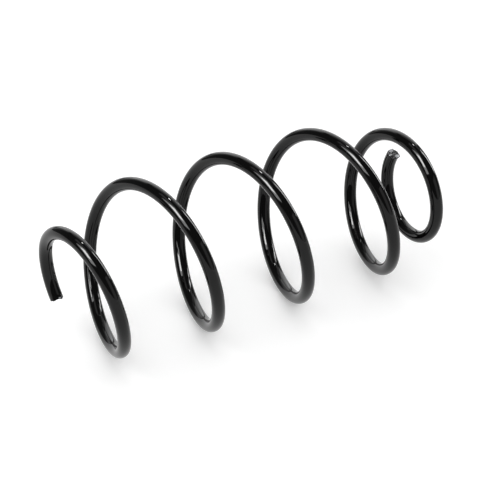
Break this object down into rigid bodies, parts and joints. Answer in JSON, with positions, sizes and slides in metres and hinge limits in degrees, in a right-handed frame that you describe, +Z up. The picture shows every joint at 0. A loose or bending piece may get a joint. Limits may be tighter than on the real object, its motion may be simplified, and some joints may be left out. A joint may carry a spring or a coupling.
{
  "type": "coil spring",
  "caption": "Suspension coil spring in round black-painted wire, with open body turns and a smaller coil closing in at each end.",
  "frame": {"origin": "middle of the spring's box, on the surface it lies on", "axes": "+X along the coil's axis, from the first tip to the second; +Z up from the surface it lies on"},
  "size_m": [0.3936, 0.1614, 0.1614],
  "materials": {
    "black_paint": "gloss black paint over spring steel"
  },
  "bodies": {
    "root": {"coil_spring": "black_paint"}
  },
  "joints": []
}
